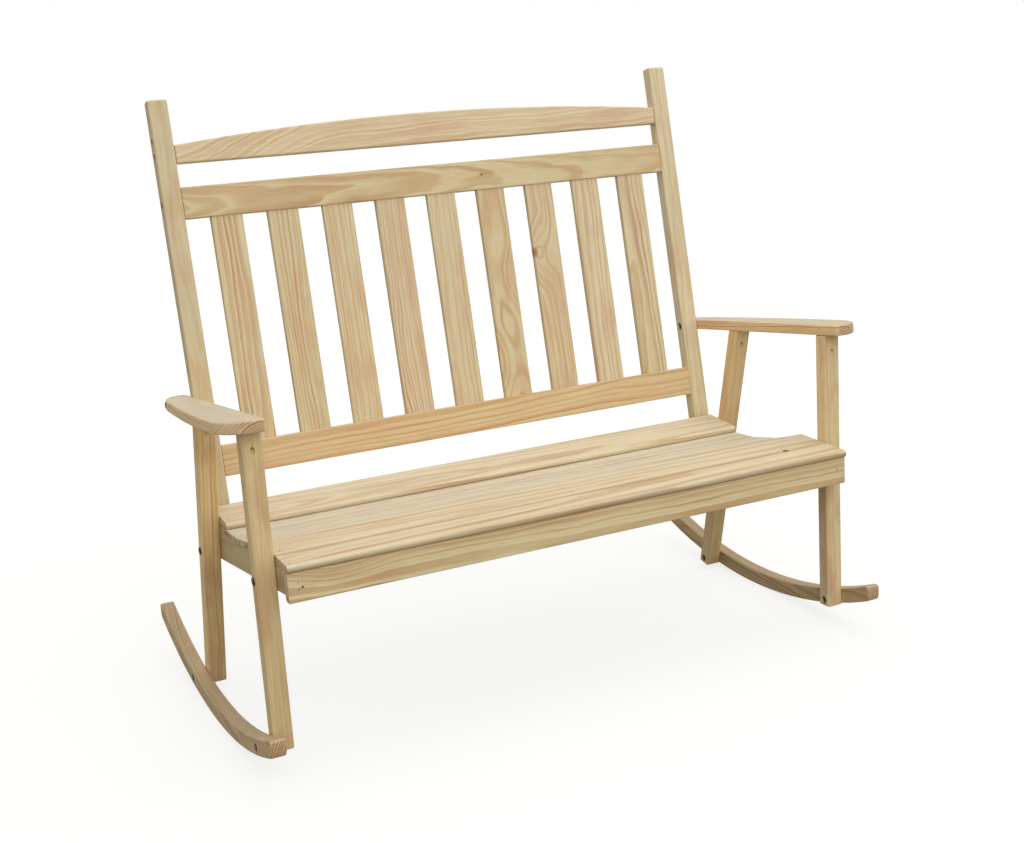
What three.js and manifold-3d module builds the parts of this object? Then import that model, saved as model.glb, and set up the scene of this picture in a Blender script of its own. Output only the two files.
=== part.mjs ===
// A two-seat rocking bench in unfinished softwood.
// X runs across the bench, Y from the front to the back and Z upward. The floor is at zero,
// and the origin lies on it under the middle of the bench.
import * as THREE from 'three';
import { mergeVertices } from 'three/addons/utils/BufferGeometryUtils.js';
import Module from 'manifold-3d';

const wasm = await Module();
wasm.setup();

const degree = Math.PI / 180;

// Overall sizes
const overallWidth = 1295.4;
const overallDepth = 787.4;
const overallHeight = 1143;

// Fits between pieces
const fitGap = 0.3;
const cutOverrun = 5;

// Runners, which are arcs of one circle that touches the floor under the balance point
const runnerRadius = 1050;
const runnerHeight = 31;
const runnerThickness = 28;
const runnerFrontReach = 396;
const runnerTopRound = 14;
const runnerFootRound = 9;
const runnerEase = 2.5;
const runnerFacetAngle = 2.2 * degree;

// Legs, bolted to the runners. A lean is measured from upright, and is positive to the back
const legWidth = 36;
const legDepth = 28;
const legEase = 3;
const footLift = 3;
const frontFootSetting = 300;
const rearFootSetting = 144;
const frontLegLean = 0.4 * degree;
const rearLegLean = -14.2 * degree;

// Pocket holes in the legs' fronts, drilled upward for the screws into the arms
const pocketRadius = 4.6;
const pocketDrop = 36;
const pocketAngle = 34 * degree;
const pocketReach = 21;
const pocketOutreach = 16;

// Arms
const armWidth = 75.7;
const armThickness = 21;
const armEase = 3;
const armHeight = 603;
const armSlope = 5.8 * degree;
const armFrontReach = 354;
const armRearReach = 210;
const armFrontRound = 84;
const armInnerRound = 14;
const armRearWidth = 54;
const armTipLength = 72;
const armTipWidth = 44;
const armTipRound = 16;
const armHeadSeat = 49.5;
const armNoseShare = 0.6;
const armFullShare = 0.45;
const armWaistShare = 0.3;

// Back posts and the rails between them
const postWidth = 38;
const postDepth = 28;
const postEase = 3;
const postEndRound = 5;
const postLean = 10.4 * degree;
const postFootSetting = 85;
const railDepth = 22;
const railEase = 3;
const railSetBack = 1.5;
const crestEndHeight = 35;
const crestRise = 27;
const crestDrop = 87;
const upperRailDrop = 167.5;
const backRailHeight = 60.5;
const jointEase = 0.8;
const lowerRailRise = 152;
const stretcherHeight = 62;

// Slats of the back, in blind mortises
const backSlatCount = 9;
const backSlatWidth = 63;
const backSlatThickness = 13;
const backSlatEase = 2.5;
const mortiseDepth = 12;
const mortiseGap = 0.4;
const slatSetBack = 5;

// Seat rails, on a slope down to the back
const seatRailSlope = 7.5 * degree;
const seatRailHeight = 291;
const seatRailThickness = 25;
const seatRailRearDepth = 87;
const seatRailEase = 1.5;
const seatBoltRise = 23;

// Boards of the seat, from the back one to the front one
const seatBoardThickness = 13;
const seatBoardRound = 3;
const seatBoardEase = 1.5;
const seatBoardGap = 2.5;
const rearBoardWidth = 98;
const midBoardWidth = 81;
const frontBoardWidth = 60;
const rearBoardTilt = 5.8 * degree;
const midBoardTilts = [-2.6, -10, -15.8, 2.4].map((tilt) => tilt * degree);
const frontBoardTilt = 2.4 * degree;
const rearBoardLap = 16;
const frontStepUp = 4;
const noseRound = 5.5;

// Apron under the front edge of the seat
const apronThickness = 19;
const apronHeight = 54;
const apronRound = 3;
const apronEase = 1.5;
const noseOverhang = 5;

// Carriage bolts and nuts
const boltRadius = 3.1;
const boltHeadRadius = 7.6;
const boltHeadHeight = 3.4;
const boltHeadRim = 0.8;
const boltChamfer = 0.8;
const boltTip = 2.5;
const nutRadius = 6.3;
const nutHeight = 5.4;
const nutBoreGap = 0.25;
const headSeatGap = 0.9;
const headSink = 1.6;
const nutSeatRadius = 8;
const nutSeatDepth = 9.5;

// Counts of facets and of rings
const easeSteps = 2;
const cornerSteps = 3;
const curveSteps = 10;
const archSteps = 22;
const meetSteps = 6;
const boltSides = 16;
const headSteps = 4;
const nutSides = 6;

// Places that follow from the sizes above
const sideHalf = overallWidth / 2 - armWidth - fitGap;
const legInner = sideHalf + fitGap;
const legOuter = legInner + legWidth;
const runnerInner = legOuter + fitGap;
const runnerOuter = runnerInner + runnerThickness;
const postInner = sideHalf - postWidth;
const armInner = sideHalf + fitGap;
const runnerCentreHeight = runnerRadius * Math.cos(runnerFacetAngle / 2);
const runnerRearReach = overallDepth - runnerFrontReach;

const pineFront = new THREE.Color('#d6c197');
const pineTop = new THREE.Color('#d9cbaa');
const pineLeg = new THREE.Color('#cdb98a');
const zinc = new THREE.Color('#6f7072');

function wood(color) {
  return new THREE.MeshStandardMaterial({ color, roughness: 0.72, metalness: 0 });
}

function steel() {
  return new THREE.MeshStandardMaterial({ color: zinc, roughness: 0.42, metalness: 1 });
}

const bench = new THREE.Group();

function add(name, geometry, material, parent = bench) {
  const mesh = new THREE.Mesh(geometry, material);
  mesh.name = name;
  parent.add(mesh);
  return mesh;
}

// An outline with its corners rounded, each by its own radius
function roundedOutline(points, radii) {
  const shape = new THREE.Shape();
  points.forEach((point, i) => {
    const before = points[(i + points.length - 1) % points.length];
    const after = points[(i + 1) % points.length];
    const radius = Array.isArray(radii) ? radii[i] : radii;
    const start = point.clone().add(before.clone().sub(point).setLength(radius));
    const end = point.clone().add(after.clone().sub(point).setLength(radius));
    if (i === 0) shape.moveTo(start.x, start.y);
    else shape.lineTo(start.x, start.y);
    if (radius > 0) shape.quadraticCurveTo(point.x, point.y, end.x, end.y);
  });
  shape.closePath();
  return shape;
}

// A board with eased edges: its outline stays as drawn, and its depth runs from zero up
function easedExtrusion(shape, depth, ease, curveSegments = cornerSteps) {
  const geometry = new THREE.ExtrudeGeometry(shape, {
    depth: depth - 2 * ease,
    curveSegments,
    bevelEnabled: true,
    bevelSegments: easeSteps,
    bevelThickness: ease,
    bevelSize: ease,
    bevelOffset: -ease,
  });
  return geometry.translate(0, 0, ease);
}

const sideToWorld = new THREE.Matrix4().makeBasis(
  new THREE.Vector3(0, 1, 0),
  new THREE.Vector3(0, 0, 1),
  new THREE.Vector3(1, 0, 0),
);

const frontToWorld = new THREE.Matrix4().makeBasis(
  new THREE.Vector3(1, 0, 0),
  new THREE.Vector3(0, 0, 1),
  new THREE.Vector3(0, -1, 0),
);

// A board drawn in the side view, from one X to another
function sideBoard(points, radii, fromX, toX, ease) {
  const geometry = easedExtrusion(roundedOutline(points, radii), toX - fromX, ease);
  return geometry.applyMatrix4(sideToWorld).translate(fromX, 0, 0);
}

function spanOf(side, inner, outer) {
  return side > 0 ? [inner, outer] : [-outer, -inner];
}

function toSolid(geometry) {
  const bare = geometry.clone();
  bare.deleteAttribute('normal');
  bare.deleteAttribute('uv');
  const merged = mergeVertices(bare);
  return new wasm.Manifold(new wasm.Mesh({
    numProp: 3,
    vertProperties: new Float32Array(merged.attributes.position.array),
    triVerts: new Uint32Array(merged.index.array),
  }));
}

function fromSolid(solid) {
  const mesh = solid.getMesh();
  const geometry = new THREE.BufferGeometry();
  geometry.setAttribute('position', new THREE.BufferAttribute(mesh.vertProperties, 3));
  geometry.setIndex(new THREE.BufferAttribute(mesh.triVerts, 1));
  geometry.computeVertexNormals();
  return geometry;
}

function cutAway(geometry, tools) {
  return fromSolid(tools.reduce((solid, tool) => solid.subtract(toSolid(tool)), toSolid(geometry)));
}

// A round cutter along X, for bolt holes and counterbores
function crossDrill(radius, fromX, toX, y, z) {
  const drill = new THREE.CylinderGeometry(radius, radius, toX - fromX, boltSides);
  return drill.rotateZ(Math.PI / 2).translate((fromX + toX) / 2, y, z);
}

function boltHole(fromX, toX, place) {
  return crossDrill(boltRadius + fitGap, fromX - cutOverrun, toX + cutOverrun, place.x, place.y);
}

// A counterbore from an outer face in to the seat of a bolt's head
function headSeatDrill(side, seat, place) {
  const [from, to] = spanOf(side, seat, seat + armWidth);
  return crossDrill(boltHeadRadius + headSeatGap, from, to, place.x, place.y);
}

// A counterbore in an inner face, which takes the nut and the bolt's end
function nutSeatDrill(side, innerFace, place) {
  const [from, to] = spanOf(side, innerFace - cutOverrun, innerFace + nutSeatDepth);
  return crossDrill(nutSeatRadius, from, to, place.x, place.y);
}

// Side view helpers: a place is a Vector2 of (Y, Z), and a lean is positive to the back
function at(y, z) {
  return new THREE.Vector2(y, z);
}

function along(from, lean, distance) {
  return at(from.x + Math.sin(lean) * distance, from.y + Math.cos(lean) * distance);
}

// The place where a leaning line from a foot meets a surface given as a height at each Y
function meets(foot, lean, heightAt) {
  let reach = 0;
  for (let i = 0; i < meetSteps; i += 1) {
    const place = along(foot, lean, reach);
    reach += (heightAt(place.x) - place.y) / Math.cos(lean);
  }
  return along(foot, lean, reach);
}

function arcHeight(radius, y) {
  return runnerCentreHeight - Math.sqrt(radius ** 2 - y ** 2);
}

function armUnderside(y) {
  return armHeight - armThickness / Math.cos(armSlope) - Math.tan(armSlope) * y;
}

function armMiddle(y) {
  return (armUnderside(y) + armHeight - Math.tan(armSlope) * y) / 2;
}

function seatRailUnderside(y) {
  return seatRailHeight - Math.tan(seatRailSlope) * y;
}

function seatBoltHeight(y) {
  return seatRailUnderside(y) + seatBoltRise;
}

const postFoot = at(postFootSetting, seatRailUnderside(postFootSetting));

function postFrontAt(z) {
  return postFoot.x + Math.tan(postLean) * (z - postFoot.y);
}

// Runners: two concentric arcs of flat facets, the lowest one level on the floor
function runnerArc(radius) {
  const arc = [];
  const steps = Math.ceil(Math.asin(runnerRearReach / radius) / runnerFacetAngle);
  for (let i = -steps; i < steps; i += 1) {
    const angle = (i + 1 / 2) * runnerFacetAngle;
    const y = radius * Math.sin(angle);
    const clear = y > runnerTopRound - runnerFrontReach && y < runnerRearReach - runnerTopRound;
    if (clear) arc.push(at(y, arcHeight(radius, y)));
  }
  return arc;
}

function runnerOutline() {
  const lower = runnerArc(runnerRadius);
  const upper = runnerArc(runnerRadius - runnerHeight).reverse();
  const endAt = (y, radius) => at(y, arcHeight(radius, y));
  const points = [
    endAt(-runnerFrontReach, runnerRadius), ...lower, endAt(runnerRearReach, runnerRadius),
    endAt(runnerRearReach, runnerRadius - runnerHeight), ...upper,
    endAt(-runnerFrontReach, runnerRadius - runnerHeight),
  ];
  const straight = (list) => list.map(() => 0);
  const radii = [
    runnerFootRound, ...straight(lower), runnerFootRound,
    runnerTopRound, ...straight(upper), runnerTopRound,
  ];
  return [points, radii];
}

// Legs: the axis of each passes through its foot bolt, half way up the runner
function legAxis(setting, lean) {
  const foot = at(setting, arcHeight(runnerRadius, setting) + runnerHeight / 2);
  return { foot, lean, seatBolt: meets(foot, lean, seatBoltHeight) };
}

function legOutline({ foot, lean }) {
  const end = along(foot, lean, footLift - runnerHeight / 2);
  const across = lean + Math.PI / 2;
  const under = (y) => armUnderside(y) - fitGap;
  const frontFoot = along(end, across, -legDepth / 2);
  const rearFoot = along(end, across, legDepth / 2);
  return [frontFoot, rearFoot, meets(rearFoot, lean, under), meets(frontFoot, lean, under)];
}

// A pocket hole enters a leg's front face below the arm and rises towards the leg's back
function pocketDrill({ foot, lean }, x) {
  const frontFoot = along(foot, lean + Math.PI / 2, -legDepth / 2);
  const top = meets(frontFoot, lean, (y) => armUnderside(y) - fitGap);
  const mouth = along(top, lean, -pocketDrop);
  const rise = lean + pocketAngle;
  const middle = along(mouth, rise, (pocketReach - pocketOutreach) / 2);
  const length = pocketReach + pocketOutreach;
  const drill = new THREE.CylinderGeometry(pocketRadius, pocketRadius, length, boltSides);
  return drill.rotateX(Math.PI / 2 - rise).translate(x, middle.x, middle.y);
}

const legs = {
  front: legAxis(-frontFootSetting, frontLegLean),
  rear: legAxis(rearFootSetting, rearLegLean),
};

// The arm bolt crosses the middle of the post at the middle of the arm's thickness
const armBoltPlace = meets(along(postFoot, postLean + Math.PI / 2, postDepth / 2), postLean, armMiddle);

// Boards of the seat, worked out from the back one forward. A tilt falls to the front.
function seatBoard(name, back, width, tilt, nose) {
  const down = (top) => along(top, Math.PI - tilt, seatBoardThickness);
  const forward = at(-Math.cos(tilt) * width, -Math.sin(tilt) * width);
  const front = back.clone().add(forward);
  return { name, tilt, nose, back, front, underBack: down(back), underFront: down(front) };
}

function seatBoards() {
  const heelHeight = seatRailUnderside(postFootSetting) + seatRailRearDepth;
  const heel = at(postFrontAt(heelHeight) - seatBoardGap, heelHeight);
  const heelTop = along(heel, -rearBoardTilt, seatBoardThickness);
  const boards = [seatBoard('seat_board_rear', heelTop, rearBoardWidth, rearBoardTilt, true)];
  midBoardTilts.forEach((tilt, i) => {
    const last = boards[boards.length - 1];
    const lapped = i === 0;
    const spread = seatBoardThickness * Math.max(0, Math.sin(tilt) - Math.sin(last.tilt));
    const step = i === midBoardTilts.length - 1 ? frontStepUp : 0;
    const back = lapped
      ? at(last.underFront.x + rearBoardLap, last.underFront.y - fitGap + Math.sin(tilt) * rearBoardLap)
      : at(last.front.x - seatBoardGap - spread, last.front.y + step);
    boards.push(seatBoard(`seat_board_mid_${i + 1}`, back, midBoardWidth, tilt, false));
  });
  const last = boards[boards.length - 1];
  const back = at(last.front.x - seatBoardGap, last.front.y);
  boards.push(seatBoard('seat_board_front', back, frontBoardWidth, frontBoardTilt, true));
  return boards;
}

const boards = seatBoards();
const frontBoard = boards[boards.length - 1];
const apronFront = frontBoard.front.x + noseOverhang;
const apronBack = apronFront + apronThickness;

function seatUnderAt(board, y) {
  return board.underBack.y - Math.tan(board.tilt) * (board.underBack.x - y) - fitGap;
}

// The seat rail's top edge follows the undersides of the boards, with a step under the back one
function seatRailOutline() {
  const front = apronBack + fitGap;
  const [rearBoard, firstMid] = boards;
  const stepAt = firstMid.underBack.x + seatBoardGap;
  const heel = seatUnderAt(rearBoard, rearBoard.underBack.x);
  const top = [
    at(postFrontAt(heel) - fitGap, heel),
    at(rearBoard.underBack.x, heel),
    at(stepAt, seatUnderAt(rearBoard, stepAt)),
    at(stepAt, seatUnderAt(firstMid, firstMid.underBack.x)),
  ];
  boards.slice(1).forEach((board, i) => {
    if (i > 0) top.push(at(board.underBack.x, board.underBack.y - fitGap));
    if (board !== frontBoard) top.push(at(board.underFront.x, board.underFront.y - fitGap));
  });
  top.push(at(front, seatUnderAt(frontBoard, front)));
  const footY = postFoot.x - fitGap;
  return [at(front, seatRailUnderside(front)), at(footY, seatRailUnderside(footY)), ...top];
}

function apronOutline() {
  const frontTop = seatUnderAt(frontBoard, apronFront);
  const backTop = seatUnderAt(frontBoard, apronBack);
  const foot = frontTop - apronHeight;
  return [at(apronFront, foot), at(apronBack, foot), at(apronBack, backTop), at(apronFront, frontTop)];
}

// A carriage bolt along Y: the dome stands above zero, and the shank hangs below it
function boltGeometry(length) {
  const profile = [
    at(0, -length),
    at(boltRadius - boltChamfer, -length),
    at(boltRadius, boltChamfer - length),
    at(boltRadius, 0),
    at(boltHeadRadius, 0),
  ];
  for (let i = 0; i <= headSteps; i += 1) {
    const angle = (Math.PI / 2) * (i / headSteps);
    const height = boltHeadRim + (boltHeadHeight - boltHeadRim) * Math.sin(angle);
    profile.push(at(i === headSteps ? 0 : boltHeadRadius * Math.cos(angle), height));
  }
  return new THREE.LatheGeometry(profile, boltSides);
}

function nutGeometry() {
  const shape = new THREE.Shape();
  for (let i = 0; i < nutSides; i += 1) {
    const angle = (2 * Math.PI * i) / nutSides;
    const spot = [nutRadius * Math.cos(angle), nutRadius * Math.sin(angle)];
    if (i === 0) shape.moveTo(...spot);
    else shape.lineTo(...spot);
  }
  shape.closePath();
  const bore = new THREE.Path();
  bore.absarc(0, 0, boltRadius + nutBoreGap, 0, 2 * Math.PI);
  shape.holes.push(bore);
  const settings = { depth: nutHeight, curveSegments: boltSides, bevelEnabled: false };
  return new THREE.ExtrudeGeometry(shape, settings).rotateY(Math.PI / 2);
}

// A bolt through the side of the bench, with its head outside and its nut inside
function addBolt(name, side, place, headFace, nutFace) {
  const length = headFace - nutFace + 2 * fitGap + nutHeight + boltTip;
  const bolt = add(`bolt_${name}`, boltGeometry(length), steel());
  bolt.position.set(side * (headFace + fitGap), place.x, place.y);
  bolt.rotation.z = (-side * Math.PI) / 2;
  const nut = add(`nut_${name}`, nutGeometry(), steel());
  const nutStart = side > 0 ? nutFace - fitGap - nutHeight : fitGap - nutFace;
  nut.position.set(nutStart, place.x, place.y);
}

// The back leans as one frame. Its origin is the front corner of the posts' feet.
const back = new THREE.Group();
back.position.set(0, postFoot.x, postFoot.y);
back.rotation.x = -postLean;
bench.add(back);

const postLength = (overallHeight - postFoot.y + postEndRound * Math.sin(postLean)) / Math.cos(postLean);
const crestFoot = postLength - crestDrop - crestEndHeight;
const upperRailFoot = postLength - upperRailDrop - backRailHeight;
const backSlatGap = (2 * postInner - backSlatCount * backSlatWidth) / (backSlatCount + 1);

function rectangle(fromY, toY, fromZ, toZ) {
  return [at(fromY, fromZ), at(toY, fromZ), at(toY, toZ), at(fromY, toZ)];
}

// Drills are placed in the bench's own frame and turned into that of the piece they cut
function inFrameOf(parent, geometry) {
  parent.updateMatrixWorld(true);
  return geometry.applyMatrix4(parent.matrixWorld.clone().invert());
}

function addPost(name, side) {
  const [from, to] = spanOf(side, postInner, sideHalf);
  const blank = sideBoard(rectangle(0, postDepth, 0, postLength), postEndRound, from, to, postEase);
  const drills = [boltHole(from, to, armBoltPlace), nutSeatDrill(side, postInner, armBoltPlace)];
  add(name, cutAway(blank, drills.map((drill) => inFrameOf(back, drill))), wood(pineLeg), back);
}

function addCrest() {
  const half = postInner - fitGap;
  const shape = new THREE.Shape();
  shape.moveTo(-half, 0);
  shape.lineTo(half, 0);
  shape.lineTo(half, crestEndHeight);
  shape.quadraticCurveTo(0, crestEndHeight + 2 * crestRise, -half, crestEndHeight);
  shape.closePath();
  const crest = easedExtrusion(shape, railDepth, railEase, archSteps).applyMatrix4(frontToWorld);
  add('crest_rail', crest.translate(0, railSetBack + railDepth, crestFoot), wood(pineFront), back);
}

function backSlatPlaces() {
  const pitch = backSlatWidth + backSlatGap;
  return Array.from({ length: backSlatCount }, (_, i) => backSlatGap - postInner + i * pitch);
}

// The slats stand in blind mortises in the edges of the two rails that face each other
function addBackRail(name, footZ, mortiseMiddle) {
  const half = postInner - fitGap;
  const outline = rectangle(railSetBack, railSetBack + railDepth, footZ, footZ + backRailHeight);
  const blank = sideBoard(outline, railEase, -half, half, jointEase);
  const width = backSlatWidth + 2 * mortiseGap;
  const thickness = backSlatThickness + 2 * mortiseGap;
  const middleY = slatSetBack + backSlatThickness / 2;
  const mortises = backSlatPlaces().map((place) => {
    const block = new THREE.BoxGeometry(width, thickness, mortiseDepth + cutOverrun);
    return block.translate(place + backSlatWidth / 2, middleY, mortiseMiddle);
  });
  add(name, cutAway(blank, mortises), wood(pineFront), back);
}

function addBackSlats() {
  const foot = lowerRailRise + backRailHeight - mortiseDepth + fitGap;
  const top = upperRailFoot + mortiseDepth - fitGap;
  const outline = rectangle(slatSetBack, slatSetBack + backSlatThickness, foot, top);
  backSlatPlaces().forEach((place, i) => {
    const slat = sideBoard(outline, 0, place, place + backSlatWidth, backSlatEase);
    add(`back_slat_${i + 1}`, slat, wood(pineFront), back);
  });
}

function addStretcher() {
  const half = postInner - fitGap;
  const outline = rectangle(fitGap, railDepth, fitGap, stretcherHeight);
  add('seat_stretcher_rear', sideBoard(outline, railEase, -half, half, jointEase), wood(pineFront), back);
}

// The arm's plan: straight beside the post, round at the front, full over the legs and
// drawn in to a round tip behind the post
function armPlan(side) {
  const front = -armFrontReach;
  const fullAt = front + armFrontRound;
  const waistAt = armRearReach - armTipLength;
  const taper = waistAt - fullAt;
  const shape = new THREE.Shape();
  shape.moveTo(0, armRearReach - armTipRound);
  shape.lineTo(0, front + armInnerRound);
  shape.quadraticCurveTo(0, front, side * armInnerRound, front);
  shape.bezierCurveTo(
    side * armWidth * armNoseShare, front,
    side * armWidth, fullAt - armFrontRound * armNoseShare,
    side * armWidth, fullAt,
  );
  shape.bezierCurveTo(
    side * armWidth, fullAt + taper * armFullShare,
    side * (armRearWidth + (armWidth - armRearWidth) * armFullShare), waistAt - taper * armWaistShare,
    side * armRearWidth, waistAt,
  );
  shape.quadraticCurveTo(side * armTipWidth, armRearReach, side * armTipRound, armRearReach);
  shape.quadraticCurveTo(0, armRearReach, 0, armRearReach - armTipRound);
  return shape;
}

function addArm(name, side) {
  const arm = new THREE.Group();
  arm.position.set(side * armInner, 0, armHeight);
  arm.rotation.x = -armSlope;
  bench.add(arm);
  const blank = easedExtrusion(armPlan(side), armThickness, armEase, curveSteps);
  const [from, to] = spanOf(side, armInner, armInner + armWidth);
  const headSeat = headSeatDrill(side, armInner + armHeadSeat, armBoltPlace);
  const drills = [boltHole(from, to, armBoltPlace), headSeat].map((drill) => inFrameOf(arm, drill));
  add(name, cutAway(blank.translate(0, 0, -armThickness), drills), wood(pineTop), arm);
}

function addRunner(name, side) {
  const [from, to] = spanOf(side, runnerInner, runnerOuter);
  const [points, radii] = runnerOutline();
  const blank = sideBoard(points, radii, from, to, runnerEase);
  const drills = Object.values(legs).flatMap(({ foot }) => [
    boltHole(from, to, foot),
    headSeatDrill(side, runnerOuter - headSink, foot),
  ]);
  add(name, cutAway(blank, drills), wood(pineLeg));
}

function addLeg(name, side, leg) {
  const [from, to] = spanOf(side, legInner, legOuter);
  const blank = sideBoard(legOutline(leg), 0, from, to, legEase);
  const drills = [leg.foot, leg.seatBolt].map((place) => boltHole(from, to, place));
  drills.push(nutSeatDrill(side, legInner, leg.foot), pocketDrill(leg, (from + to) / 2));
  add(name, cutAway(blank, drills), wood(pineLeg));
}

function addSeatRail(name, side) {
  const [from, to] = spanOf(side, sideHalf - seatRailThickness, sideHalf);
  const blank = sideBoard(seatRailOutline(), 0, from, to, seatRailEase);
  const holes = Object.values(legs).map((leg) => boltHole(from, to, leg.seatBolt));
  add(name, cutAway(blank, holes), wood(pineFront));
}

function addSeatBoard({ name, back: backTop, front, underBack, underFront, nose }) {
  const corner = nose ? noseRound : seatBoardRound;
  const outline = [underFront, underBack, backTop, front];
  const radii = [seatBoardRound, seatBoardRound, seatBoardRound, corner];
  add(name, sideBoard(outline, radii, -sideHalf, sideHalf, seatBoardEase), wood(pineTop));
}

for (const [word, side] of [['left', -1], ['right', 1]]) {
  addRunner(`runner_${word}`, side);
  addPost(`back_post_${word}`, side);
  addArm(`arm_${word}`, side);
  addSeatRail(`seat_rail_${word}`, side);
  for (const [end, leg] of Object.entries(legs)) {
    addLeg(`leg_${end}_${word}`, side, leg);
    addBolt(`foot_${end}_${word}`, side, leg.foot, runnerOuter - headSink, legInner + nutSeatDepth);
    addBolt(`seat_${end}_${word}`, side, leg.seatBolt, legOuter, sideHalf - seatRailThickness);
  }
  addBolt(`arm_${word}`, side, armBoltPlace, armInner + armHeadSeat, postInner + nutSeatDepth);
}

addCrest();
const mortiseReach = (mortiseDepth - cutOverrun) / 2;
addBackRail('back_rail_upper', upperRailFoot, upperRailFoot + mortiseReach);
addBackRail('back_rail_lower', lowerRailRise, lowerRailRise + backRailHeight - mortiseReach);
addBackSlats();
addStretcher();
boards.forEach(addSeatBoard);

const centreHalf = seatRailThickness / 2;
const centreRail = sideBoard(seatRailOutline(), 0, -centreHalf, centreHalf, seatRailEase);
add('seat_rail_centre', centreRail, wood(pineFront));
add('seat_apron', sideBoard(apronOutline(), apronRound, -sideHalf, sideHalf, apronEase), wood(pineFront));

// The runners' reach before and behind the balance point sets the middle of the bench
bench.position.y = (runnerFrontReach - runnerRearReach) / 2;

const rockingBench = new THREE.Group();
rockingBench.add(bench);

export default rockingBench;
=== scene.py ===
from math import cos, radians, sin

import bpy
from mathutils import Matrix, Vector


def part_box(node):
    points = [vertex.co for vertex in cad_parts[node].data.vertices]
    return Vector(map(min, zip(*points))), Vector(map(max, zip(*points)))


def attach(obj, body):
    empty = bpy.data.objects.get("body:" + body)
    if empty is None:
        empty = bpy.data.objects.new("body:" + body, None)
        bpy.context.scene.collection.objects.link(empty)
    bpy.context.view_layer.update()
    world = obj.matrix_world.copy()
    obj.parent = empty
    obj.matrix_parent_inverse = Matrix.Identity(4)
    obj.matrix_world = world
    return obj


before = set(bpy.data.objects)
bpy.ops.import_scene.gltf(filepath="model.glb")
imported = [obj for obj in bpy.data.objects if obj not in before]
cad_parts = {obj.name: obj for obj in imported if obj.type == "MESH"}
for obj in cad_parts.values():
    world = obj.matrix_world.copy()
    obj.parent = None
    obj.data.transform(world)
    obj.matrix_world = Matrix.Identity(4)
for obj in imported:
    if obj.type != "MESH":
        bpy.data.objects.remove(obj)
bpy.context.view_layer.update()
bpy.ops.object.select_all(action="DESELECT")

# Runners. Two arcs sawn out of wide pine boards, so the grain runs out at their curved edges and
# stands on end at their tips. They lie nearest the ground and are browner than the rest.
RIGHT = Vector((1, 0, 0))
REAR = Vector((0, 1, 0))
UP = Vector((0, 0, 1))


def linear(code):
    """The linear colour of an sRGB hex value."""
    parts = [int(code[i : i + 2], 16) / 255 for i in (1, 3, 5)]
    return tuple(p / 12.92 if p <= 0.04045 else ((p + 0.055) / 1.055) ** 2.4 for p in parts) + (1.0,)


def add(tree, kind, settings):
    """A node with its settings. A node or an output among them is linked to the socket it stands for."""
    node = tree.nodes.new("ShaderNode" + kind)
    for key, value in settings.items():
        if key == "stops":
            stops = node.color_ramp.elements
            while len(stops) < len(value):
                stops.new(0.5)
            for stop, (spot, shade) in zip(stops, value):
                stop.position = spot
                stop.color = linear(shade) if isinstance(shade, str) else (shade, shade, shade, 1)
        elif isinstance(value, bpy.types.Node):
            tree.links.new(next(output for output in value.outputs if output.enabled), node.inputs[key])
        elif isinstance(value, bpy.types.NodeSocket):
            tree.links.new(value, node.inputs[key])
        elif isinstance(key, int) or key in node.inputs:
            node.inputs[key].default_value = linear(value) if isinstance(value, str) else value
        else:
            setattr(node, key, value)
    return node


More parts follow.
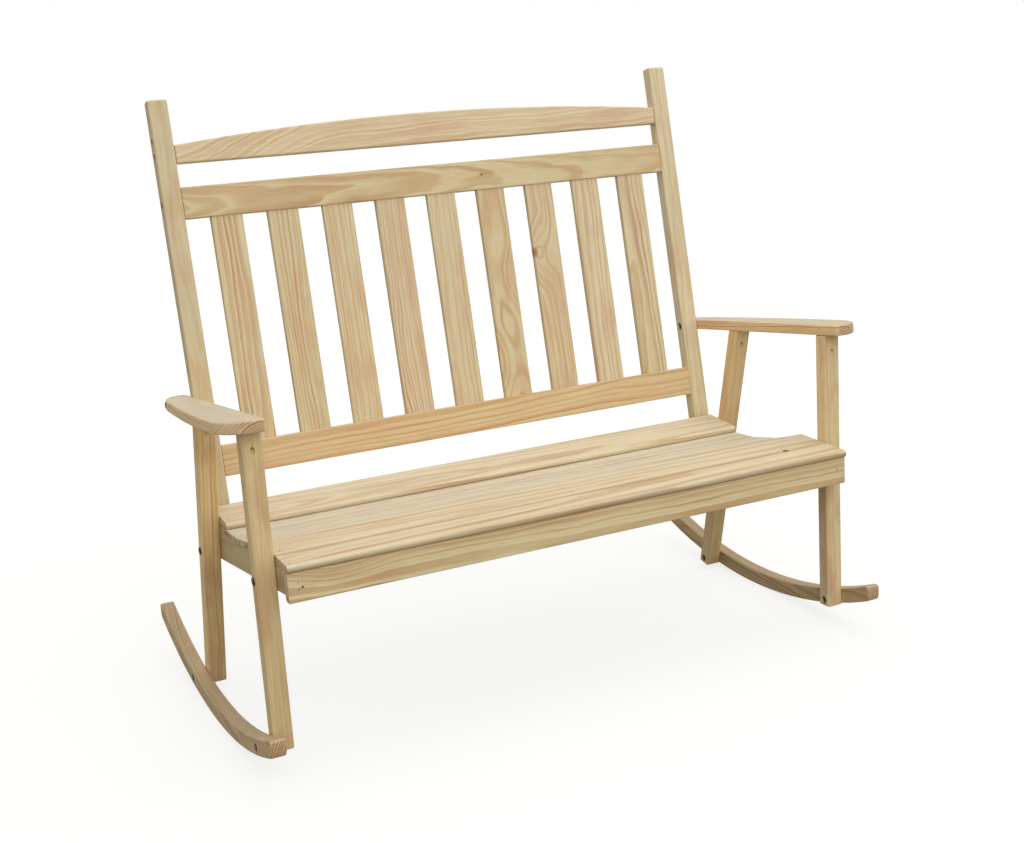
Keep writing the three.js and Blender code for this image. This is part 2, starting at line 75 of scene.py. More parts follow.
def pine(node, along, face, seed, pith, ring, taper, early, late, cool, figure=0.8, pale=0.45, drift=18,
         wave=3, cooling=0.35, blush=0.25, weather_and_sheen=0.0, seam_dirt_and_shade=0.0, nose_shade=0.0, ends=0.85,
         knots=(), holes=()):
    """Sawn and planed pine for one board, cut out of its own log, with its sizes in mm.

    It gives the eye dull pale wood with tan stripes where the saw crossed the rings, arches where it
    ran along them, and bare rings on the ends.
    along is the way of the grain and face the board's broad side. seed moves its noise. pith is the
    log's middle, measured across the board and out of its face. ring is a year's growth and taper how
    fast rings run out. early, late and cool are the colours of spring wood, summer wood and the bloom.
    figure is how plain the rings are, pale the part of a year that is spring wood, and drift and wave how far
    the rings stray slowly and quickly. cooling is the share of the bloom, blush the share of pink in soft
    patches and weather the share of grey on top, which is weathering and a painted sheen. grime is the
    soiling and painted shade in the joints along a seat board and lip the brown painted shade where the edge
    of one turns under. ends is how plainly the sawn ends show their rings. A knot without a heart colour is
    only a swirl in the grain. Holes are the places and sizes of the stains round screws and pins and of the
    painted shade in a pocket hole."""
    material = bpy.data.materials.new("sawn_pine_" + node)
    material.use_nodes = True
    tree = material.node_tree
    shader = tree.nodes["Principled BSDF"]
    low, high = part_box(node)
    turn = Matrix((along, face.cross(along), face)).transposed().to_euler()
    place = add(tree, "TexCoord", {})
    board = add(tree, "Mapping", {"vector_type": "TEXTURE", "Vector": place.outputs["Object"],
                                  "Location": (Vector(low) + Vector(high)) / 2, "Rotation": turn})

    # Six noises drawn out along the grain, each with its length and width on the board. The shift
    # gives every board and every noise a place of its own.
    seed_shift, field_shift = 0.37, 2.3
    noise = {}
    for number, (field, length, width, detail) in enumerate((
            ("drift", 420, 90, 1.5), ("waves", 110, 30, 1.0), ("bands", 260, 34, 1.0),
            ("streaks", 330, 11, 2.0), ("fibres", 46, 1.7, 2.0), ("blotches", 120, 40, 2.0))):
        shift = seed_shift * seed + field_shift * number
        moved = add(tree, "VectorMath", {"operation": "ADD", 0: board, 1: (shift, shift, shift)})
        drawn = add(tree, "VectorMath", {"operation": "MULTIPLY", 0: moved,
                                         1: (1000 / length, 1000 / width, 1000 / width)})
        noise[field] = add(tree, "TexNoise", {"Vector": drawn, "Scale": 1.0, "Detail": detail,
                                              "Roughness": 0.55})

    # How far each point lies from the pith, out of round as a real tree grows, and pushed out by knots
    log = add(tree, "VectorMath", {"operation": "SUBTRACT", 0: board, 1: (0, pith[0] / 1000, pith[1] / 1000)})
    disc = add(tree, "VectorMath", {"operation": "MULTIPLY", 0: log, 1: (0, 1, 1)})
    reach = add(tree, "VectorMath", {"operation": "LENGTH", 0: disc})
    grain_way, width_way, face_way = add(tree, "SeparateXYZ", {0: board}).outputs
    reach = add(tree, "Math", {"operation": "MULTIPLY_ADD", 0: grain_way, 1: taper, 2: reach})
    reach = add(tree, "Math", {"operation": "MULTIPLY_ADD", 0: noise["drift"], 1: drift / 1000, 2: reach})
    reach = add(tree, "Math", {"operation": "MULTIPLY_ADD", 0: noise["waves"], 1: wave / 1000, 2: reach})
    oval = 0.8
    flat = add(tree, "VectorMath", {"operation": "MULTIPLY", 0: board, 1: (oval, 1, 0)})
    knot_rims = []
    for spot, side, size, heart in knots:
        radius = size / 1000
        middle = (oval * spot / 1000, side / 1000, 0)
        away = add(tree, "VectorMath", {"operation": "DISTANCE", 0: flat, 1: middle})
        bulge = add(tree, "MapRange", {"interpolation_type": "SMOOTHERSTEP", "Value": away, "From Min": 0.0,
                                       "From Max": 3.4 * radius, "To Min": 0.9 * radius, "To Max": 0.0})
        reach = add(tree, "Math", {"operation": "ADD", 0: reach, 1: bulge})
        if heart:
            rim = add(tree, "MapRange", {"interpolation_type": "SMOOTHSTEP", "Value": away,
                                         "From Min": 0.4 * radius, "From Max": 1.5 * radius,
                                         "To Min": 1.0, "To Max": 0.0})
            knot_rims.append((heart, rim))

    # Years of uneven width, which swells and shrinks over 29 mm and over 9 mm of growth. Each year
    # fades from pale early wood to a firm edge of tan late wood.
    slow_years, quick_years = 34.0, 110.0
    spacing = add(tree, "TexNoise", {"noise_dimensions": "1D", "W": reach,
                                     "Scale": slow_years, "Detail": 2.0})
    crowding = add(tree, "TexNoise", {"noise_dimensions": "1D", "W": reach,
                                      "Scale": quick_years, "Detail": 1.0})
    crowding = add(tree, "Math", {"operation": "MULTIPLY", 0: crowding, 1: 0.9})
    spread = add(tree, "Math", {"operation": "MULTIPLY_ADD", 0: spacing, 1: 3.6, 2: crowding})
    age = add(tree, "Math", {"operation": "MULTIPLY_ADD", 0: reach, 1: 1000 / ring, 2: spread})
    season = add(tree, "Math", {"operation": "FRACT", 0: age})
    year = add(tree, "Math", {"operation": "FLOOR", 0: age})
    growth = add(tree, "TexWhiteNoise", {"noise_dimensions": "1D", "W": year})
    line = add(tree, "ValToRGB", {"Fac": season, "stops": [(0.0, 0.7), (0.1, 0.04), (pale, 0.08),
                                                           (pale + 0.4, 1.0), (1.0, 0.85)]})
    strength = add(tree, "Math", {"operation": "MULTIPLY_ADD", 0: growth, 1: 0.6 * figure, 2: 0.4 * figure})
    share = add(tree, "Math", {"operation": "MULTIPLY", 0: line, 1: strength})
    fade = add(tree, "MapRange", {"Value": noise["bands"], "From Min": 0.3, "From Max": 0.7,
                                  "To Min": 0.6, "To Max": 1.2})
    share = add(tree, "Math", {"operation": "MULTIPLY", 0: share, 1: fade, "use_clamp": True})

    # The board's own colours, with a cool bloom in streaks, pink in patches and grey on top, which is
    # weathering and a painted sheen
    colour = add(tree, "Mix", {"data_type": "RGBA", 0: share, 6: early, 7: late})
    tint = add(tree, "MapRange", {"Value": noise["streaks"], "From Min": 0.42, "From Max": 0.68,
                                  "To Min": 0.0, "To Max": cooling})
    colour = add(tree, "Mix", {"data_type": "RGBA", 0: tint, 6: colour, 7: cool})
    pinker = add(tree, "MapRange", {"Value": noise["blotches"], "From Min": 0.48, "From Max": 0.66,
                                    "To Min": 0.0, "To Max": blush})
    colour = add(tree, "Mix", {"data_type": "RGBA", 0: pinker, 6: colour, 7: "#cd9d74"})
    if weather_and_sheen:
        # Faces turned up go grey: weathering, and a painted sheen of the light from above
        sky = add(tree, "VectorMath", {"operation": "DOT_PRODUCT", 0: place.outputs["Normal"], 1: UP})
        grey_share = add(tree, "MapRange", {"Value": noise["blotches"], "From Min": 0.3, "From Max": 0.7,
                                      "To Min": 0.65 * weather_and_sheen, "To Max": weather_and_sheen})
        sky = add(tree, "MapRange", {"Value": sky, "From Min": 0.5, "From Max": 0.95, "To Max": grey_share})
        colour = add(tree, "Mix", {"data_type": "RGBA", 0: sky, 6: colour, 7: "#c6ba9f"})

    # Sawn ends drink in dirt and show the rings sharply, and handled arrises are a little paler
    facing = add(tree, "Mapping", {"vector_type": "TEXTURE", "Vector": place.outputs["Normal"],
                                   "Rotation": turn})
    facing = add(tree, "VectorMath", {"operation": "ABSOLUTE", 0: facing})
    to_end, to_edge, to_face = add(tree, "SeparateXYZ", {0: facing}).outputs
    sawn = add(tree, "MapRange", {"Value": to_end, "From Min": 0.45, "From Max": 0.9,
                                  "To Min": 0.0, "To Max": ends})
    end_colour = add(tree, "Mix", {"data_type": "RGBA", 0: line, 6: "#d0b286", 7: "#965a34"})
    colour = add(tree, "Mix", {"data_type": "RGBA", 0: sawn, 6: colour, 7: end_colour})
    broadest = add(tree, "Math", {"operation": "MAXIMUM", 0: to_edge, 1: to_face})
    broadest = add(tree, "Math", {"operation": "MAXIMUM", 0: broadest, 1: to_end})
    arris = add(tree, "MapRange", {"Value": broadest, "From Min": 0.7, "From Max": 0.97,
                                   "To Min": 0.35, "To Max": 0.0})
    colour = add(tree, "Mix", {"data_type": "RGBA", 0: arris, 6: colour, 7: "#e2d3af"})
    grain = add(tree, "MapRange", {"Value": noise["fibres"], "From Min": 0.25, "From Max": 0.75,
                                   "To Min": 0.9, "To Max": 1.07})
    colour = add(tree, "VectorMath", {"operation": "SCALE", 0: colour, "Scale": grain})
    for heart, rim in knot_rims:
        colour = add(tree, "Mix", {"data_type": "RGBA", 0: rim, 6: colour, 7: heart})

    # Dirt and painted shade in the joints between boards, painted shade under a rounded nose, stains round
    # screws and pins, and painted shade in pocket holes
    if seam_dirt_and_shade or nose_shade:
        half = (high[1] - low[1]) / 2
        across = add(tree, "Math", {"operation": "ABSOLUTE", 0: width_way})
    if seam_dirt_and_shade:
        # Darker within 4 mm of each long edge: dirt, and painted shade where the boards meet
        seam_darkening = add(tree, "MapRange", {"Value": across, "From Min": half - 0.004, "From Max": half,
                                      "To Min": 0.0, "To Max": seam_dirt_and_shade})
        colour = add(tree, "Mix", {"data_type": "RGBA", 0: seam_darkening, 6: colour, 7: "#94724a"})
    if nose_shade:
        # Painted shade: the lower part of each rounded long edge turns brown, where it faces down away from
        # the light
        outer = add(tree, "MapRange", {"Value": across, "From Min": half - 0.009, "From Max": half - 0.006,
                                       "To Min": 0.0, "To Max": nose_shade})
        under = add(tree, "MapRange", {"Value": face_way, "From Min": -0.006, "From Max": 0.003,
                                       "To Min": 1.0, "To Max": 0.0})
        under = add(tree, "Math", {"operation": "MULTIPLY", 0: outer, 1: under})
        colour = add(tree, "Mix", {"data_type": "RGBA", 0: under, 6: colour, 7: "#836534"})
    # Round a screw or pin this is a stain, and inside a pocket hole it is painted shade
    for hole, size in holes:
        radius = size / 1000
        away = add(tree, "VectorMath", {"operation": "DISTANCE", 0: place.outputs["Object"], 1: hole})
        darkening = add(tree, "MapRange", {"interpolation_type": "SMOOTHSTEP", "Value": away,
                                       "From Min": 0.9 * radius, "From Max": 1.8 * radius,
                                       "To Min": 0.8, "To Max": 0.0})
        colour = add(tree, "Mix", {"data_type": "RGBA", 0: darkening, 6: colour, 7: "#6a4b30"})
    tree.links.new(next(output for output in colour.outputs if output.enabled), shader.inputs["Base Color"])

    # Late wood is hard and takes a slight shine from the plane. Early wood is sunk and dull.
    shine = add(tree, "MapRange", {"Value": share, "To Min": 0.72, "To Max": 0.55})
    tree.links.new(shine.outputs[0], shader.inputs["Roughness"])
    relief = add(tree, "Math", {"operation": "MULTIPLY_ADD", 0: share, 1: 0.25, 2: noise["fibres"]})
    bump = add(tree, "Bump", {"Height": relief, "Strength": 0.35, "Distance": 0.0005})
    tree.links.new(bump.outputs[0], shader.inputs["Normal"])
    shader.inputs["Specular IOR Level"].default_value = 0.35
    return material


def dress(node, material):
    """Gives a CAD piece its material."""
    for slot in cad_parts[node].material_slots:
        slot.material = material


for side, hand, seed in (("left", -1, 1), ("right", 1, 5)):
    node = "runner_" + side
    dress(node, pine(node, REAR, RIGHT * hand, seed, (3, -110), 4.5, 0.03, "#d0b486", "#85592f", "#ae966c",
                     figure=0.95, drift=7, cooling=0.4, weather_and_sheen=0.25))

# Legs. Planed pine, nearly square, bolted flat to the seat rails and the runners, greenish yellow on
# the outer sides. A screw is driven up into the arm through a pocket hole in the front of each.
leg_leans = {"front": radians(0.4), "rear": radians(-14.2)}

# Each leg's seed, figure, spring wood, summer wood and bloom
leg_woods = {
    "front_left": (9, 0.4, "#e4c896", "#c09263", "#ccba7e"),
    "front_right": (13, 0.55, "#ead1a2", "#c2976a", "#dcc590"),
    "rear_left": (17, 0.8, "#f9daa0", "#a96f38", "#ddba72"),
    "rear_right": (21, 0.6, "#e6c998", "#b98a59", "#d4ba80"),
}
pocket_angle = radians(34)
pocket_reach = 0.1
sight_rows, sight_gap, sight_distance = range(80, 200), 0.0005, 0.02
pocket_shade, pocket_shade_lift = 4.6, 0.008
pocket_floors = {}


def meet(node, start, heading):
    """Where a straight line first meets a CAD piece, and the way that its face looks there."""
    hit, spot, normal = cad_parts[node].ray_cast(Vector(start), Vector(heading))[:3]
    return (spot, normal) if hit else None


# Each pocket's floor is found by looking along its bore from every half millimetre of the leg's front,
# starting from a point under the arm. The wood inside gets a painted shade, where a deep hole is dark.
for leg, (seed, figure, early, late, cool) in leg_woods.items():
    end, side = leg.split("_")
    hand = -1 if side == "left" else 1
    rise = Vector((0, sin(leg_leans[end]), cos(leg_leans[end])))
    bore = Vector((0, sin(leg_leans[end] + pocket_angle), cos(leg_leans[end] + pocket_angle)))
    low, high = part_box("leg_" + leg)
    below = meet("leg_" + leg, ((low[0] + high[0]) / 2, -1, high[2] - pocket_reach), REAR)[0]
    sights = [below + rise * (sight_gap * row) - bore * sight_distance for row in sight_rows]
    floors = [meet("leg_" + leg, sight, bore) for sight in sights]
    floors = [floor for floor in floors if floor and floor[1].dot(bore) < -0.95]
    pocket_floors[leg] = floors[len(floors) // 2]
    shade_middle = pocket_floors[leg][0] - bore * pocket_shade_lift
    dress("leg_" + leg, pine("leg_" + leg, rise, RIGHT * hand, seed, (-34 + 2 * seed, -32), 12.0, 0.02,
                             early, late, cool, figure=figure, pale=0.5, drift=34, wave=8,
                             cooling=0.6, blush=0.5, holes=[(shade_middle, pocket_shade)]))

# Arms. Wide shaped boards let down on the legs and bolted through the posts. Their tops have
# weathered to a dull grey beige, and round the sawn front the year rings stand on end.
arm_slope = radians(5.8)
arm_run = Vector((0, cos(arm_slope), -sin(arm_slope)))
arm_top = Vector((0, sin(arm_slope), cos(arm_slope)))
for side, hand, seed in (("left", -1, 24), ("right", 1, 28)):
    node = "arm_" + side
    dress(node, pine(node, arm_run, arm_top, seed, (30 * hand, -34), 4.2, 0.02,
                     "#efd19f", "#bb7e4b", "#dcc9a0", weather_and_sheen=1.0))

# Back posts. Thick pine posts with rounded arrises, leaning back as one frame with the rails. Their
# outer sides have a green tinge and carry the sunk screws that hold the crest and the rails.
screw_radius, screw_depth, screw_sunk = 0.004, 0.0016, 0.0006
countersink, screw_rim, screw_dish = 0.72, 0.0005, 0.00015
recess = (0.0044, 0.0009, 0.0018)
screw_stain = 4.2

# The screw's head is drawn in underneath for its countersink, dished on top and cut crosswise
bpy.ops.mesh.primitive_cylinder_add(vertices=24, radius=screw_radius, depth=screw_depth,
                                    location=(0, 0, -screw_sunk))
screw = bpy.context.object
bpy.ops.object.mode_set(mode="EDIT")
bpy.ops.mesh.select_mode(type="FACE")
bpy.ops.mesh.select_all(action="DESELECT")
bpy.ops.object.mode_set(mode="OBJECT")
for polygon in screw.data.polygons:
    polygon.select = polygon.normal.z < -0.9
bpy.ops.object.mode_set(mode="EDIT")
bpy.ops.transform.resize(value=(countersink, countersink, 1))
bpy.ops.mesh.select_all(action="DESELECT")
bpy.ops.object.mode_set(mode="OBJECT")
for polygon in screw.data.polygons:
    polygon.select = polygon.normal.z > 0.9
bpy.ops.object.mode_set(mode="EDIT")
bpy.ops.mesh.inset(thickness=screw_rim, depth=0)
bpy.ops.transform.translate(value=(0, 0, -screw_dish))
bpy.ops.object.mode_set(mode="OBJECT")
for angle in (0, 90):
    bpy.ops.object.select_all(action="DESELECT")
    bpy.ops.mesh.primitive_cube_add(size=1, location=(0, 0, 0))
    cutter = bpy.context.object
    bpy.ops.transform.resize(value=recess)
    bpy.ops.object.transform_apply(location=True, rotation=True, scale=True)
    cutter.data.transform(Matrix.Rotation(radians(angle), 4, "Z"))
    cut = screw.modifiers.new("recess", "BOOLEAN")
    cut.operation = "DIFFERENCE"
    cut.object = cutter
    bpy.context.view_layer.objects.active = screw
    bpy.ops.object.modifier_apply(modifier="recess")
    bpy.data.objects.remove(cutter)
screw.data.transform(screw.matrix_world)
screw.matrix_world = Matrix.Identity(4)

# The screws' zinc has gone dull and is stained by resin: brown grey patches about 1 mm across, with a
# soft and broken shine
bloom_scale = 900.0
worn_steel = bpy.data.materials.new("dulled_zinc_screw_steel")
worn_steel.use_nodes = True
tree = worn_steel.node_tree
shader = tree.nodes["Principled BSDF"]
place = add(tree, "TexCoord", {})
bloom = add(tree, "TexNoise", {"Vector": place.outputs["Object"], "Scale": bloom_scale, "Detail": 3.0})
metal = add(tree, "ValToRGB", {"Fac": bloom, "stops": [(0.35, "#3b2d22"), (0.55, "#5f5347"),
                                                       (0.75, "#7d766c")]})
tree.links.new(metal.outputs[0], shader.inputs["Base Color"])
dull = add(tree, "MapRange", {"Value": bloom, "To Min": 0.65, "To Max": 0.4})
tree.links.new(dull.outputs[0], shader.inputs["Roughness"])
shader.inputs["Metallic"].default_value = 1.0

# The pins are the same steel under more resin, nearly as pale as the wood round them
pin_steel = worn_steel.copy()
pin_steel.name = "resin_stained_pin_steel"
patches = next(part for part in pin_steel.node_tree.nodes if part.bl_idname == "ShaderNodeValToRGB")
for stop, shade in zip(patches.color_ramp.elements, ("#6a543c", "#8d7758", "#a8957a")):
    stop.color = linear(shade)


def drive(head, steel, name, spot, normal, turn=0.0):
    """A copy of a fastener's head with its own mesh, seated on a face."""
    mesh = head.data.copy()
    stand = normal.to_track_quat("Z", "Y").to_matrix().to_4x4()
    mesh.transform(Matrix.Translation(spot) @ stand @ Matrix.Rotation(turn, 4, "Z"))
    piece = bpy.data.objects.new(name, mesh)
    piece.data.materials.clear()
    piece.data.materials.append(steel)
    bpy.context.collection.objects.link(piece)
    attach(piece, "root")


back_lean = radians(10.4)
rise = Vector((0, sin(back_lean), cos(back_lean)))
outward = Vector((0, -cos(back_lean), sin(back_lean)))
post_screws = {"crest_rail": (-0.014, 0.014), "back_rail_upper": (0.0,), "back_rail_lower": (-0.016, 0.016),
               "seat_stretcher_rear": (-0.016, 0.016)}

# Each post's side, hand, seed, spring wood, year's growth and figure
post_woods = (("left", -1, 31, "#d8c69e", 16, 0.4), ("right", 1, 35, "#e1d1aa", 7, 0.6))
for side, hand, seed, early, ring, figure in post_woods:
    node = "back_post_" + side
    holes = []
    for rail, steps in post_screws.items():
        low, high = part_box(rail)
        middle = (Vector(low) + Vector(high)) / 2
        for step in steps:
            start = Vector((hand, middle.y, middle.z)) + rise * step
            spot, normal = meet(node, start, RIGHT * -hand)
            name = "screw_%s_%s_%d" % (rail, side, len(holes))
            drive(screw, worn_steel, name, spot, normal, 0.4 + len(holes))
            holes.append((spot, screw_stain))
    dress(node, pine(node, rise, RIGHT * hand, seed, (70, -60 * hand), ring, 0.008,
                     early, "#bd9668", "#c8bf9a", figure=figure, drift=40, wave=10,
                     cooling=0.5, blush=0.4, holes=holes))
for leg, (spot, normal) in pocket_floors.items():
    drive(screw, worn_steel, "screw_pocket_" + leg, spot, normal, 0.3)

# Crest and back rails. Flat sawn boards with a long wavy figure from post to post. The crest is cut
# to a low arch, and the two rails are mortised for the slats.
dress("crest_rail", pine("crest_rail", RIGHT, outward, 2, (-80, -34), 12.5, -0.02,
                         "#e6d6b0", "#c79e74", "#d9cba7", figure=1.0, pale=0.14, drift=16, wave=11,
                         cooling=0.2, knots=[(-620, 0, 110, "")]))
dress("back_rail_upper", pine("back_rail_upper", RIGHT, outward, 6, (-8, -36), 8.0, 0.045,
                              "#d9c89c", "#bb8e5e", "#d2c6a0", figure=1.0, pale=0.28, drift=20, wave=10,
                              cooling=0.2, knots=[(96, 0, 2, "#6a3c24")]))
dress("back_rail_lower", pine("back_rail_lower", RIGHT, outward, 10, (44, -36), 8.0, 0.012,
                              "#ddc495", "#be8750", "#d6c59b", figure=0.95, pale=0.35, wave=4, cooling=0.2))

# Back slats. Nine narrow boards standing in the rails' mortises, each from another log, so that no
# two have the same figure: wide stripes, fine lines, a broad cathedral, a knot at the edge.

# Each slat's pith, year's growth, taper, figure, spring wood, summer wood and knots
slat_logs = [
    ((-52, -26), 9.5, 0.006, 1.0, "#decda2", "#be8d64", ()),
    ((70, -20), 7.0, 0.004, 0.95, "#dac89d", "#b98b60", ()),
    ((-80, -12), 8.0, 0.006, 0.9, "#ddcba1", "#bf9068", ()),
    ((56, -34), 5.0, 0.01, 0.9, "#dcc7a0", "#b98a66", ()),
    ((-110, -20), 7.5, 0.003, 0.75, "#dccca4", "#c0976d", ()),
    ((4, -30), 8.5, 0.05, 0.95, "#dac89d", "#b98b5c", [(30, -46, 26, ""), (-150, 48, 28, "")]),
    ((46, -26), 7.5, 0.008, 0.8, "#dbc8a0", "#bb8e63", [(76, 31, 8, "#ad7b4c"), (70, 36, 26, "")]),
    ((-65, -18), 10.0, 0.006, 0.95, "#dfd1aa", "#c4916b", ()),
    ((24, -32), 8.0, 0.012, 0.95, "#decda4", "#b3845a", ()),
]
for number, (pith, ring, taper, figure, early, late, knots) in enumerate(slat_logs):
    node = "back_slat_%d" % (number + 1)
    dress(node, pine(node, rise, outward, 3 + 4 * number, pith, ring, taper, early, late, "#d5cba6",
                     figure=figure, pale=0.38, drift=24, wave=8, blush=0.4, knots=knots))

# Stretcher, seat rails and apron. Plain duller boards carry the seat at its back, its sides and its
# middle. The apron under the front edge is a showier one, pinned to the rails' ends.
bpy.ops.object.select_all(action="DESELECT")
pin_radius, pin_depth, pin_sunk = 0.0011, 0.0012, 0.0004
pin_ring, pin_dish, pin_crown = 0.0003, 0.0002, 0.00005

# The pin's head has a sunk ring and a slight crown, as it has when it is struck with a punch
bpy.ops.mesh.primitive_cylinder_add(vertices=12, radius=pin_radius, depth=pin_depth,
                                    location=(0, 0, -pin_sunk))
pin = bpy.context.object
bpy.ops.object.mode_set(mode="EDIT")
bpy.ops.mesh.select_all(action="DESELECT")
bpy.ops.object.mode_set(mode="OBJECT")
for polygon in pin.data.polygons:
    polygon.select = polygon.normal.z > 0.9
bpy.ops.object.mode_set(mode="EDIT")
bpy.ops.mesh.inset(thickness=pin_ring, depth=0)
bpy.ops.transform.translate(value=(0, 0, -pin_dish))
bpy.ops.mesh.inset(thickness=pin_ring, depth=0)
bpy.ops.transform.translate(value=(0, 0, pin_crown))
bpy.ops.object.mode_set(mode="OBJECT")
pin.data.transform(pin.matrix_world)
pin.matrix_world = Matrix.Identity(4)

rail_slope = radians(7.5)
rail_run = Vector((0, cos(rail_slope), -sin(rail_slope)))
dress("seat_stretcher_rear", pine("seat_stretcher_rear", RIGHT, outward, 14, (40, -40), 6.5, 0.01, "#cfbc90",
                                  "#a98357", "#bcae84"))
for word, hand, seed in (("left", -1, 18), ("right", 1, 22), ("centre", 1, 26)):
    node = "seat_rail_" + word
    dress(node, pine(node, rail_run, RIGHT * hand, seed, (10, -45), 8.0, 0.03,
                     "#ccb688", "#97744a", "#b4a97c", figure=0.85, cooling=0.6, wave=6))

# How far across and how high each pin stands, its steel and the stain round it
apron_pins = [(-0.5465, 0.3525, worn_steel, 1.9), (-0.5525, 0.3505, pin_steel, 0.7),
              (-0.5545, 0.3485, pin_steel, 0.7), (-0.5535, 0.362, pin_steel, 0.7),
              (0.552, 0.357, pin_steel, 1.1)]
holes = []
for across, height, steel, darkening in apron_pins:
    spot, normal = meet("seat_apron", (across, -1, height), REAR)
    drive(pin, steel, "pin_apron_%d" % len(holes), spot, normal)
    holes.append((spot, darkening))
dress("seat_apron", pine("seat_apron", RIGHT, -REAR, 30, (-76, -40), 16.0, 0.014,
                         "#ecdbac", "#c69c69", "#dccb9a", figure=1.0, pale=0.2, drift=20, wave=9,
                         cooling=0.15, blush=0.3, ends=0.35, knots=[(-480, 60, 34, "")], holes=holes))

# Seat boards. Six boards with eased edges across the scooped rails, each pinned twice to every rail.
# They face the sky and are the palest, with straight pink and cream lines and a cool bloom.

# Each board's place, tilt, pins' distance from its middle, pith, year's growth, taper, figure, dirt and
# painted shade in the joints, painted shade under the nose, spring wood, summer wood and knots
seat_logs = [
    ("rear", 5.8, 0.031, (-20, -32), 12.0, 0.03, 0.95, 0.0, 0.5, "#e9d9b3", "#c29366", ()),
    ("mid_1", -2.6, 0.026, (22, -24), 18.0, 0.012, 0.95, 0.35, 0.0, "#e7dec1", "#c59c76", ()),
    ("mid_2", -10.0, 0.026, (-30, -24), 18.0, 0.01, 0.95, 0.35, 0.0, "#e7dec1", "#c69c74", ()),
    ("mid_3", -15.8, 0.026, (15, -28), 17.0, 0.014, 0.95, 0.35, 0.0, "#e7dab6", "#c2946a", ()),
    ("mid_4", 2.4, 0.026, (-20, -26), 14.0, 0.01, 0.95, 0.6, 0.0, "#e5d4aa", "#c08b5c",
     [(474, -38, 6, "#84543a")]),
    ("front", 2.4, 0.016, (24, -32), 12.5, 0.02, 0.95, 0.0, 0.8, "#e4d2a7", "#be8c5c", ()),
]
rail_middles = (-0.5592, 0.0, 0.5592)
hand_wander, pin_stain = 0.0016, 0.9
for number, seat_log in enumerate(seat_logs):
    word, tilt, step, pith, ring, taper, figure, seam_dirt_and_shade, nose_shade, early, late, knots = seat_log
    node = "seat_board_" + word
    low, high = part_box(node)
    middle = (low[1] + high[1]) / 2
    holes = []
    for across in rail_middles:
        for way in (-1, 1):
            sway = hand_wander * ((3 * number + 7 * len(holes)) % 5 - 2)
            spot, normal = meet(node, (across + sway, middle + way * step, 1), -UP)
            drive(pin, pin_steel, "pin_%s_%d" % (word, len(holes)), spot, normal)
            holes.append((spot, pin_stain))
    board_top = Vector((0, -sin(radians(tilt)), cos(radians(tilt))))
    # The grey on their tops is weathering and a painted sheen
    dress(node, pine(node, RIGHT, board_top, 7 + 4 * number, pith, ring, taper, early, late, "#e4ddc8",
                     figure=figure, pale=0.4, wave=4, cooling=0.55, blush=0.12, weather_and_sheen=0.2,
                     seam_dirt_and_shade=seam_dirt_and_shade, nose_shade=nose_shade, ends=0.75 if seam_dirt_and_shade else 0.5, knots=knots, holes=holes))
bpy.data.objects.remove(screw)
bpy.data.objects.remove(pin)

# Bolts and nuts. Pressed steel, zinc plated and left outside, which reads as a dark and dull metal: a
# faint spangle of 2.4 mm under clouds of 6 mm, glossier where the plating is still bright.
spangle_scale, cloud_scale = 420.0, 160.0
zinc = bpy.data.materials.new("zinc_plated_steel")
zinc.use_nodes = True
tree = zinc.node_tree
shader = tree.nodes["Principled BSDF"]
place = add(tree, "TexCoord", {})
spangle = add(tree, "TexVoronoi", {"Vector": place.outputs["Object"], "Scale": spangle_scale})
cloud = add(tree, "TexNoise", {"Vector": place.outputs["Object"], "Scale": cloud_scale, "Detail": 3.0})
patch = add(tree, "Math", {"operation": "MULTIPLY_ADD", 0: spangle.outputs["Color"], 1: 0.35, 2: cloud})
metal = add(tree, "ValToRGB", {"Fac": patch, "stops": [(0.35, "#1f1b18"), (0.65, "#36322d"),
                                                       (0.95, "#5f5a52")]})
tree.links.new(metal.outputs[0], shader.inputs["Base Color"])
dull = add(tree, "MapRange", {"Value": patch, "To Min": 0.5, "To Max": 0.28})
tree.links.new(dull.outputs[0], shader.inputs["Roughness"])
pits = add(tree, "Bump", {"Height": cloud, "Strength": 0.3, "Distance": 0.0003})
tree.links.new(pits.outputs[0], shader.inputs["Normal"])
shader.inputs["Metallic"].default_value = 1.0
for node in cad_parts:
    if node.startswith(("bolt_", "nut_")):
        dress(node, zinc)

# The place it stands in. A white paper floor that keeps a soft shadow, white all round, and light
# from above, from the front and from behind, with a little from the side.
bpy.ops.object.select_all(action="DESELECT")
floor_size = 60
bpy.ops.mesh.primitive_plane_add(size=floor_size, location=(0, 0, 0))
floor = bpy.context.object
floor.name = "floor"

# Matt paper under soft lamps. It is grey and glows only to the camera and to gloss and glass, so that
# it looks white there, keeps the shadow and throws little light up at the bench.
paper = bpy.data.materials.new("white_floor_paper")
paper.use_nodes = True
tree = paper.node_tree
shader = tree.nodes["Principled BSDF"]
shader.inputs["Base Color"].default_value = linear("#878680")
shader.inputs["Roughness"].default_value = 1.0
shader.inputs["Specular IOR Level"].default_value = 0.0
shader.inputs["Emission Color"].default_value = (1, 1, 1, 1)
ray = add(tree, "LightPath", {})
place = add(tree, "TexCoord", {})
outlying = add(tree, "VectorMath", {"operation": "LENGTH", 0: place.outputs["Object"]})
seen = add(tree, "Math", {"operation": "MAXIMUM", 0: ray.outputs["Is Camera Ray"],
                          1: ray.outputs["Is Glossy Ray"]})
seen = add(tree, "Math", {"operation": "MAXIMUM", 0: seen, 1: ray.outputs["Is Transmission Ray"]})
level = add(tree, "MapRange", {"Value": outlying, "From Min": 0.8, "From Max": 4.5,
                               "To Min": 0.79, "To Max": 0.87})
glow = add(tree, "Math", {"operation": "MULTIPLY", 0: seen, 1: level})
tree.links.new(glow.outputs[0], shader.inputs["Emission Strength"])
floor.data.materials.append(paper)

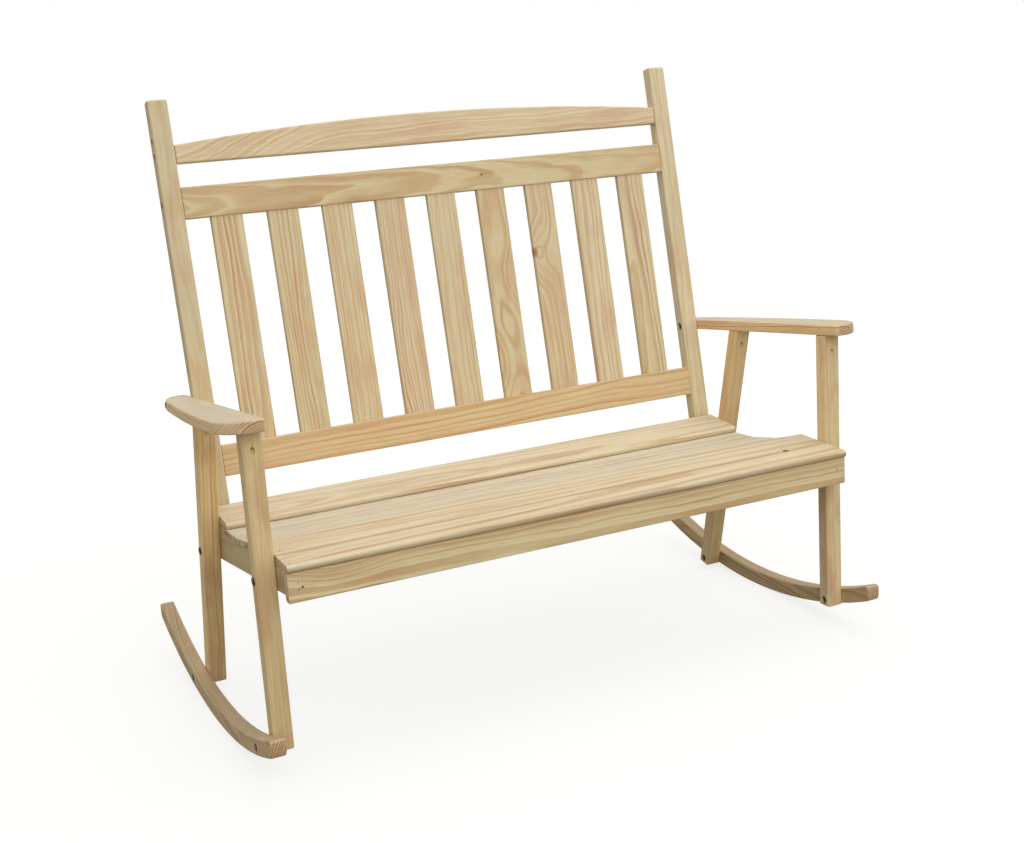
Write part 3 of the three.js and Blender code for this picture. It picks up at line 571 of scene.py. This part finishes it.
world = bpy.data.worlds.new("white_surround")
bpy.context.scene.world = world
world.use_nodes = True
tree = world.node_tree
sky = tree.nodes["Background"]
ray = add(tree, "LightPath", {})
seen = add(tree, "Math", {"operation": "MAXIMUM", 0: ray.outputs["Is Camera Ray"],
                          1: ray.outputs["Is Glossy Ray"]})
seen = add(tree, "Math", {"operation": "MAXIMUM", 0: seen, 1: ray.outputs["Is Transmission Ray"]})
level = add(tree, "MapRange", {"Value": seen, "To Min": 0.6, "To Max": 1.0})
sky.inputs["Color"].default_value = (1, 1, 1, 1)
tree.links.new(level.outputs[0], sky.inputs["Strength"])

lamps = (("lamp_over", (0.5, -0.5, 3.4), 2.4, 28), ("lamp_front", (-0.6, -3.4, 2.2), 2.0, 42),
         ("lamp_side", (3.2, -1.2, 1.6), 1.6, 10), ("lamp_back", (0.6, 3.6, 2.0), 2.4, 26))
lamp_target = Vector((0, 0, 0.5))
for name, spot, size, power in lamps:
    data = bpy.data.lights.new(name, "AREA")
    data.size = size
    data.energy = power
    lamp = bpy.data.objects.new(name, data)
    lamp.location = spot
    lamp.rotation_euler = (lamp_target - Vector(spot)).to_track_quat("-Z", "Y").to_euler()
    bpy.context.collection.objects.link(lamp)

# The camera. It stands in front and to the left of the bench, a little above it, and is tipped a
# few degrees to one side.
turn, height, tip = radians(-25.5), radians(13.6), radians(-3.6)
target, distance = Vector((0.0294, 0.0, 0.4692)), 2.9191
away = Vector((sin(turn) * cos(height), -cos(turn) * cos(height), sin(height)))
across = (-away).cross(UP).normalized()
upward = across.cross(-away)
right_hand = across * cos(tip) + upward * sin(tip)
top_hand = upward * cos(tip) - across * sin(tip)
lens = bpy.data.cameras.new("camera")
lens.sensor_width = 36.0
lens.lens = 50.87
camera = bpy.data.objects.new("camera", lens)
stand = Matrix.Translation(target + away * distance)
camera.matrix_world = stand @ Matrix((right_hand, top_hand, away)).transposed().to_4x4()
bpy.context.collection.objects.link(camera)
bpy.context.scene.camera = camera
bpy.context.scene.view_settings.view_transform = "Standard"
